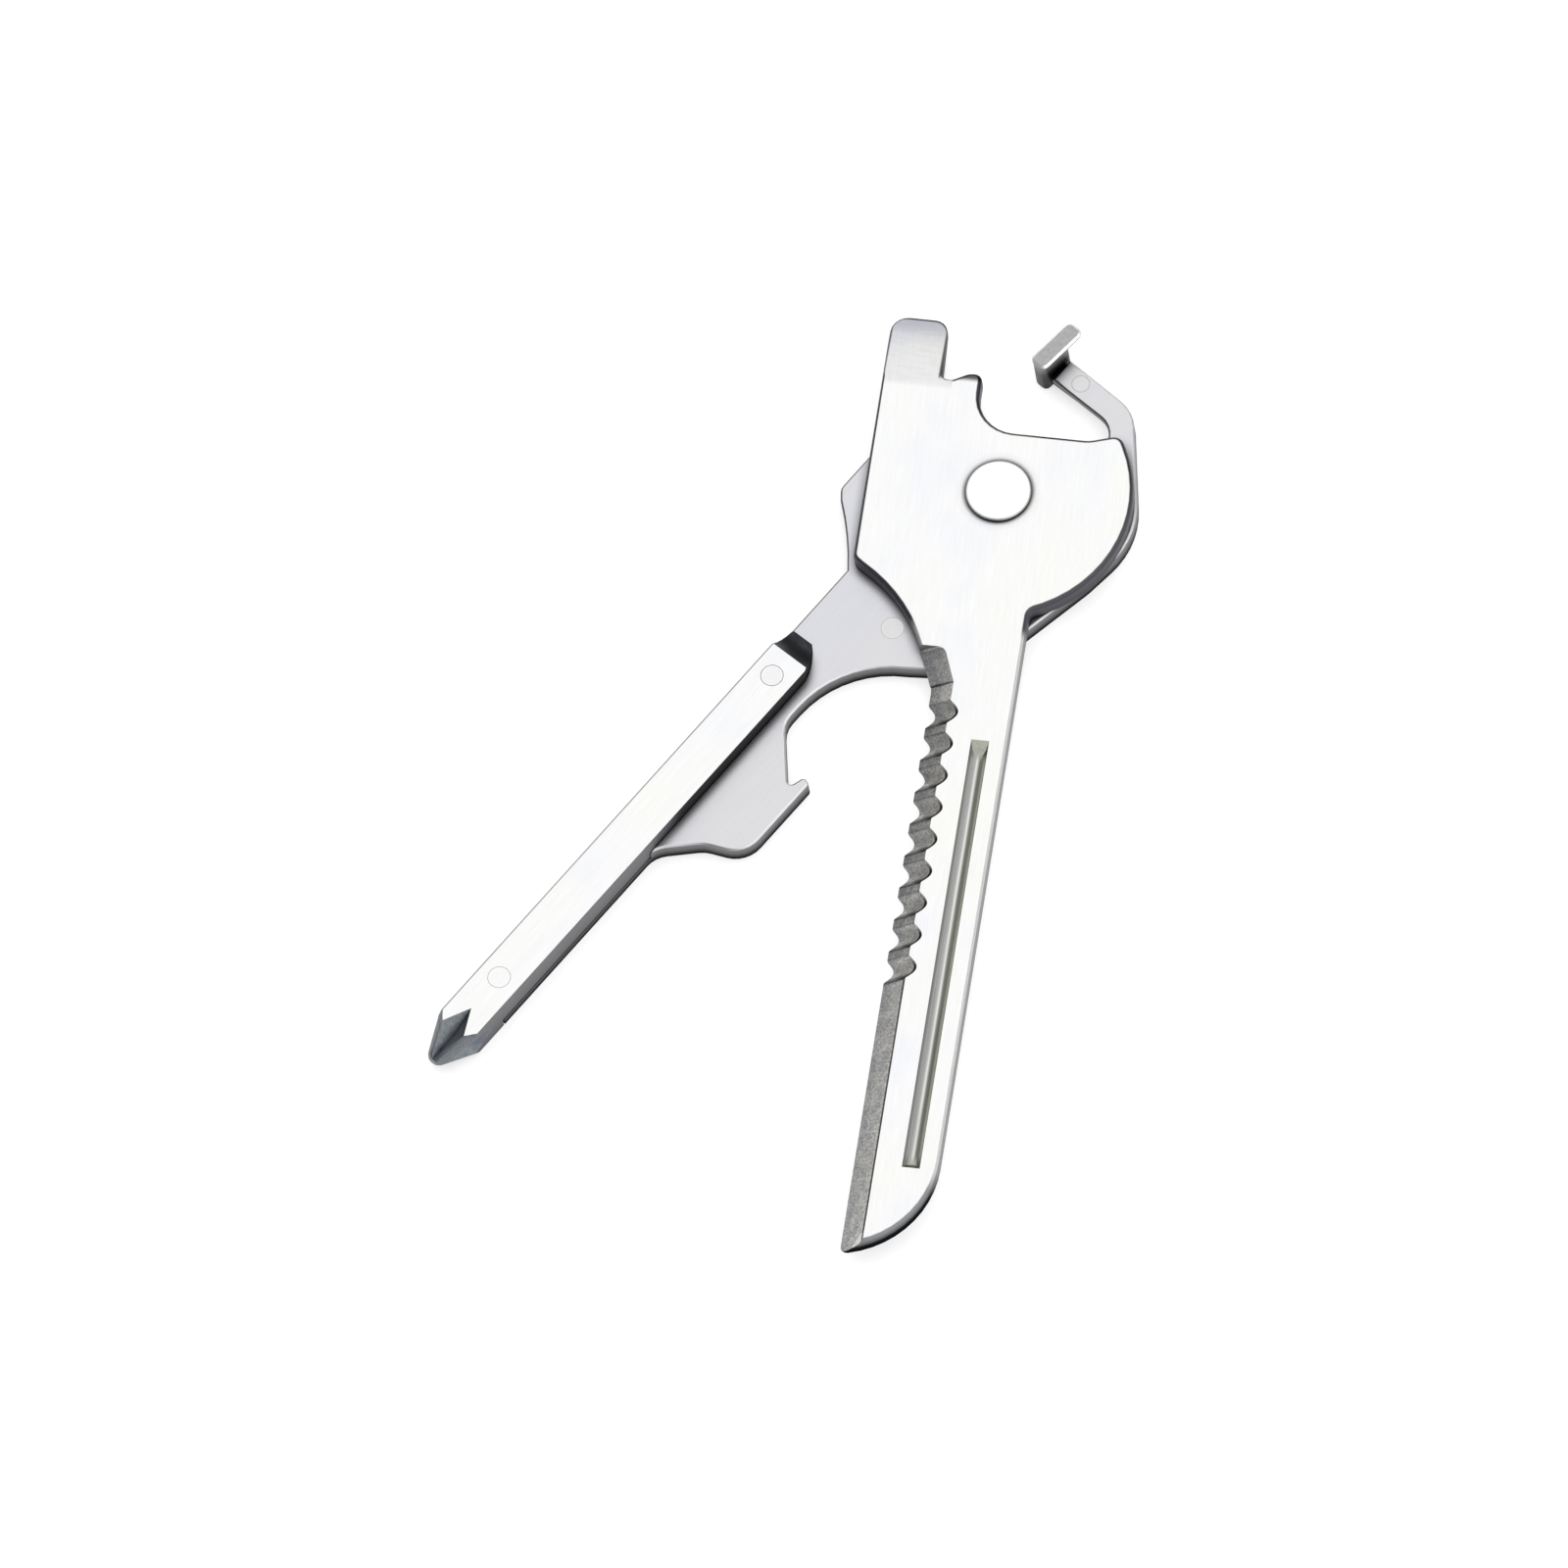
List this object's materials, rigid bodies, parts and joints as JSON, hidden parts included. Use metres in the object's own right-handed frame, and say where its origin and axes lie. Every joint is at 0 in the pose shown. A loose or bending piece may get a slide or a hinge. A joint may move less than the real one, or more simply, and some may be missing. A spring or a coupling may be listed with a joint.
{
  "type": "key-shaped folding multi tool",
  "caption": "Flat key-shaped multi tool: serrated knife and flat driver on one side, cross-point driver, bottle opener and latching key ring arm on the other, turning on one rivet.",
  "frame": {"origin": "on the rivet's axis, at the level of the flat back face", "axes": "+Z out of the front face along the rivet's axis, -Y along the knife blade to its point, +X to the spine's side"},
  "size_m": [0.0425, 0.0704, 0.0036],
  "materials": {
    "front_steel": "fine satin grain, bright, with ground mid-grey bevels",
    "back_steel": "soft satin, slightly darker and cooler than the front",
    "rivet_steel": "polished, slightly domed",
    "washer_steel": "plain rolled",
    "stud_steel": "satin grey with a bright broken edge"
  },
  "bodies": {
    "tool_side": {"tool_plate": "back_steel", "driver_bar": "front_steel", "driver_pin_upper": "rivet_steel", "driver_pin_lower": "rivet_steel", "neck_pin": "rivet_steel", "latch_stud": "stud_steel", "latch_pin": "rivet_steel"},
    "blade_side": {"blade_plate": "front_steel", "pivot_rivet": "rivet_steel", "thrust_washer": "washer_steel", "spring_washer": "washer_steel", "rivet_collar": "washer_steel"}
  },
  "joints": [
    {"name": "blade_swing", "type": "hinge", "parent": "tool_side", "child": "blade_side", "pos_m": [0, 0, 0.0016], "axis": [0, 0, 1], "range_deg": [-28, 145]}
  ]
}
